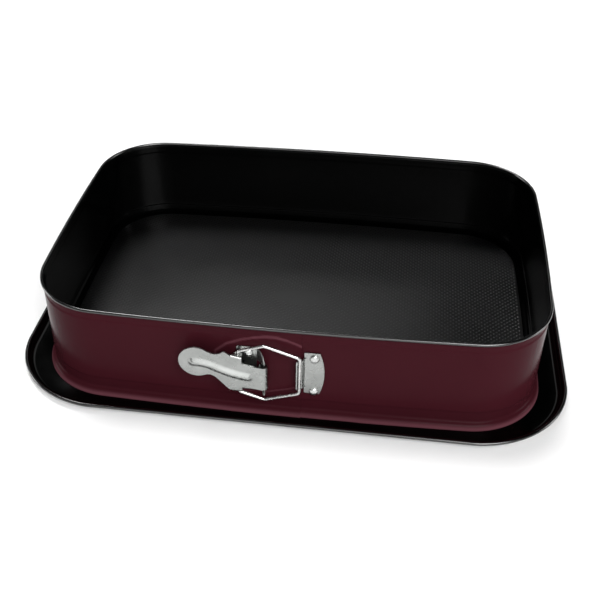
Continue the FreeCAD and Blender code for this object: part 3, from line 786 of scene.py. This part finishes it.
def catch_place(u, v, w):
    if u >= TONGUE_START or not TONGUE_LOW - 0.3 < v < TONGUE_HIGH + 0.3:
        return u, WALL_OUT + STAMP / 2 + w, v
    s = (TONGUE_START - u) / TONGUE_STEP
    k = min(int(s), len(TONGUE) - 2)
    here, there, f = TONGUE[k], TONGUE[k + 1], s - k
    x, out, nx, nout = (a + (b - a) * f for a, b in zip(here, there))
    return x + nx * w, out + nout * w, v


def make_catch():
    lip_u = TONGUE_START - (len(TONGUE) - 1) * TONGUE_STEP + 1.0
    bulge = arc(-22.6, 42.3, 55, -20, 20, 24)
    outline = rounded([
        (18.0, 23.8, 0.8)] + [(x, z, 0) for x, z in bulge] + [
        (18.0, 61.1, 0.5), (18.0, 56.8, 0), (19.3, 56.8, 0), (19.3, TONGUE_HIGH, 0),
        (lip_u + 1.2, TONGUE_HIGH, 0), (lip_u, TONGUE_HIGH - 1.6, 0.8),
        (lip_u, TONGUE_LOW + 1.6, 0.8), (lip_u + 1.2, TONGUE_LOW, 0),
        (19.3, TONGUE_LOW, 0), (19.3, 29.2, 0), (18.0, 29.2, 0)])
    holes = [hole_at(x, z, SHANK_HOLE) for x, z in CATCH_RIVETS]
    return make_sheet("catch_sheet", outline, holes, 0.75, catch_place, STAMP, "band",
                      LATCH_STEEL, "catch_plate", bevel=0.30)


# ------------------------------------------------------------------ bail wire
WIRE_RADIUS, WIRE_SIDES, WIRE_BEND_STEPS, WIRE_END = 1.2, 20, 12, 0.35
BAIL = [(EYE_X, 56.3, 0), (EYE_X, 61.5, 2.2), (-10.0, 68.0, 4.0), (HOOK_X, 59.4, 3.2),
        (HOOK_X, 26.6, 3.2), (-10.0, 17.8, 4.0), (EYE_X, 23.7, 2.2), (EYE_X, 28.9, 0)]


def bail_line():
    """Middle line of the wire, from one ear to the other, with its bends rounded."""
    line = []
    for k, (x, z, bend) in enumerate(BAIL):
        at = Vector((x, z))
        if not bend:
            line.append(at)
            continue
        back = (Vector(BAIL[k - 1][:2]) - at).normalized()
        ahead = (Vector(BAIL[k + 1][:2]) - at).normalized()
        angle = back.angle(ahead)
        cut = bend / math.tan(angle / 2)
        centre = at + (back + ahead).normalized() * (bend / math.sin(angle / 2))
        start, end = at + back * cut - centre, at + ahead * cut - centre
        turn = start.angle_signed(end)
        for i in range(WIRE_BEND_STEPS + 1):
            line.append(centre + Matrix.Rotation(-turn * i / WIRE_BEND_STEPS, 2) @ start)
    return line


def make_bail():
    line, radius, sides = bail_line(), WIRE_RADIUS, WIRE_SIDES
    rings = []
    for k, p in enumerate(line):
        before = line[max(k - 1, 0)]
        after = line[min(k + 1, len(line) - 1)]
        along = (after - before).normalized()
        rings.append((p, along, radius))
    # rounded ends: the section shrinks over the last WIRE_END of the wire
    first, last = rings[0], rings[-1]
    cap = [(WIRE_END, 0.55), (0.22, 0.80), (0.08, 0.96), (0.0, 1.0)]
    start = [(first[0] + first[1] * (WIRE_END - d), first[1], radius * f) for d, f in cap]
    end = [(last[0] - last[1] * (WIRE_END - d), last[1], radius * f)
           for d, f in reversed(cap)]
    rings = start + rings[1:-1] + end
    points = []
    for p, along, r in rings:
        side = Vector((-along.y, along.x))
        for k in range(sides):
            a = TAU * k / sides
            q = p + side * r * math.cos(a)
            points.append((q.x, -(WIRE_OUT + r * math.sin(a)), q.y))
    faces = tube_faces(len(rings), sides)
    faces.append(tuple(range(sides)))
    faces.append(tuple(range(len(points) - sides, len(points))))
    return make_piece("bail_rod", points, faces, "bail", [WIRE_STEEL],
                      "bail_wire", sharp=60)


# ------------------------------------------------------------------ rivets
HEAD_RADIUS, HEAD_BASE, HEAD_RISE, SHANK_RADIUS, RIVET_SIDES = 3.5, 0.25, 1.75, 1.5, 28


def make_rivet(name, x, z, seat_out, node):
    """Domed head outside, shank through the sheets, low head inside the pan."""
    inner = HALF_DEPTH + PANEL_STEP - 0.35
    dome = []
    for degrees in (12, 24, 36, 48, 60, 72, 82):
        a = math.radians(degrees)
        dome.append((HEAD_RADIUS * math.sin(a), seat_out + HEAD_BASE + HEAD_RISE * math.cos(a)))
    profile = dome + [(HEAD_RADIUS + 0.05, seat_out + 0.2), (HEAD_RADIUS, seat_out),
                      (SHANK_RADIUS, seat_out - 0.02), (SHANK_RADIUS, inner),
                      (2.6, inner - 0.02), (2.65, inner - 0.25), (2.35, inner - 0.55),
                      (1.6, inner - 0.72)]
    sides, points = RIVET_SIDES, []
    for r, out in profile:
        points += [(x + r * math.cos(TAU * k / sides), -out, z + r * math.sin(TAU * k / sides))
                   for k in range(sides)]
    faces, crown = tube_faces(len(profile), sides), len(points)
    points += [(x, -(seat_out + HEAD_BASE + HEAD_RISE), z), (x, -(inner - 0.75), z)]
    back = (len(profile) - 1) * sides
    for k in range(sides):
        n = (k + 1) % sides
        faces.append((k, n, crown))
        faces.append((back + k, back + n, crown + 1))
    return make_piece(name, points, faces, "band", [RIVET_STEEL], node,
                      sharp=55)


make_band()
make_tray()
make_dots()
make_lever()
make_bracket()
make_catch()
make_bail()
for word, bracket_at, catch_at in zip(("top", "bottom"), BRACKET_RIVETS, CATCH_RIVETS):
    make_rivet("bracket_stud_" + word, *bracket_at, SEAT_OUT + STAMP, "bracket_rivet_" + word)
    make_rivet("catch_stud_" + word, *catch_at, WALL_OUT + STAMP, "catch_rivet_" + word)


# ------------------------------------------------------------------ floor, light, camera
FLOOR_REACH = 6.0


def make_floor():
    mesh, reach = bpy.data.meshes.new("studio_floor"), FLOOR_REACH
    mesh.from_pydata([(-reach, -reach, 0), (reach, -reach, 0), (reach, reach, 0),
                      (-reach, reach, 0)], [], [(0, 1, 2, 3)])
    floor = bpy.data.objects.new("studio_floor", mesh)
    bpy.context.scene.collection.objects.link(floor)
    n = Nodes("studio_white")
    n.set(Base_Color=n.ramp(n.noise(2.0, 1.0), [(0.3, STUDIO_LOW), (0.7, STUDIO_HIGH)]),
          Roughness=0.9, Specular_IOR_Level=0.1)
    mesh.materials.append(n.material)


def sun(name, azimuth, elevation, spread, strength):
    """A far softbox. Azimuth 0 shines from the latch side, 90 from +X, 180 from behind."""
    data = bpy.data.lights.new(name, "SUN")
    data.energy, data.angle = strength, math.radians(spread)
    a, e = math.radians(azimuth), math.radians(elevation)
    towards = Vector((math.sin(a) * math.cos(e), -math.cos(a) * math.cos(e), math.sin(e)))
    light = bpy.data.objects.new(name, data)
    light.rotation_euler = towards.to_track_quat("Z", "Y").to_euler()
    bpy.context.scene.collection.objects.link(light)


WORLD_BACK, WORLD_FRONT, WORLD_FROM, WORLD_TO = 0.003, 0.35, -0.08, -0.6


def make_world():
    """Dim behind, bright in front of the latch side, as with one large softbox there."""
    world = bpy.data.worlds.new("studio")
    world.use_nodes = True
    tree = world.node_tree
    way = tree.nodes.new("ShaderNodeTexCoord")
    split = tree.nodes.new("ShaderNodeSeparateXYZ")
    fade = tree.nodes.new("ShaderNodeMapRange")
    fade.interpolation_type = "SMOOTHSTEP"
    for key, value in (("From Min", WORLD_FROM), ("From Max", WORLD_TO),
                       ("To Min", WORLD_BACK), ("To Max", WORLD_FRONT)):
        fade.inputs[key].default_value = value
    tree.links.new(way.outputs["Generated"], split.inputs[0])
    tree.links.new(split.outputs["Y"], fade.inputs["Value"])
    ground = tree.nodes["Background"]
    ground.inputs["Color"].default_value = (1, 1, 1, 1)
    # past the floor's edge the backdrop itself is plain white
    plain = tree.nodes.new("ShaderNodeMath")
    plain.operation = "MAXIMUM"
    seen = tree.nodes.new("ShaderNodeLightPath").outputs["Is Camera Ray"]
    tree.links.new(fade.outputs["Result"], plain.inputs[0])
    tree.links.new(seen, plain.inputs[1])
    tree.links.new(plain.outputs[0], ground.inputs["Strength"])
    bpy.context.scene.world = world


PANEL_SIZE, PANEL_WATTS, PANEL_PLACE = (0.80, 0.40), 0.88, (-0.10, 0.98, 0.93)


def sheen_panel():
    """A dim panel behind and above, which the pan's floor mirrors."""
    data = bpy.data.lights.new("sheen_panel", "AREA")
    data.shape, data.energy = "RECTANGLE", PANEL_WATTS
    data.size, data.size_y = PANEL_SIZE
    light = bpy.data.objects.new("sheen_panel", data)
    light.location = PANEL_PLACE
    light.rotation_euler = Vector(light.location).to_track_quat("Z", "Y").to_euler()
    bpy.context.scene.collection.objects.link(light)


def make_camera():
    azimuth, elevation, roll = (math.radians(a) for a in (9.33, 37.96, -0.91))
    distance, target = 0.80509, Vector((-0.03462, 0, -0.01214))
    back = Vector((math.sin(azimuth) * math.cos(elevation),
                   -math.cos(azimuth) * math.cos(elevation), math.sin(elevation)))
    level = Vector((math.cos(azimuth), math.sin(azimuth), 0))
    upright = back.cross(level)
    right = level * math.cos(roll) + upright * math.sin(roll)
    up = upright * math.cos(roll) - level * math.sin(roll)
    data = bpy.data.cameras.new("camera")
    data.sensor_width, data.lens = 36.0, 56.02
    data.shift_x, data.shift_y = 0.0667, 0.025
    data.clip_start, data.clip_end = 0.02, 50
    camera = bpy.data.objects.new("camera", data)
    turn = Matrix((right, up, back)).transposed().to_4x4()
    camera.matrix_world = Matrix.Translation(target + back * distance) @ turn
    bpy.context.scene.collection.objects.link(camera)
    bpy.context.scene.camera = camera


make_floor()
make_world()
sheen_panel()
for name, azimuth, elevation, spread, strength in (
        ("back_left", 212, 62, 20, 1.7), ("left_side", -98, 14, 24, 0.8),
        ("right_side", 98, 14, 24, 0.8), ("key", 30, 43, 34, 2.55),
        ("front_low", 3, 15, 42, 0.70)):
    sun(name, azimuth, elevation, spread, strength)
make_camera()
bpy.context.scene.view_settings.view_transform = "Standard"
bpy.context.scene.view_settings.look = "None"
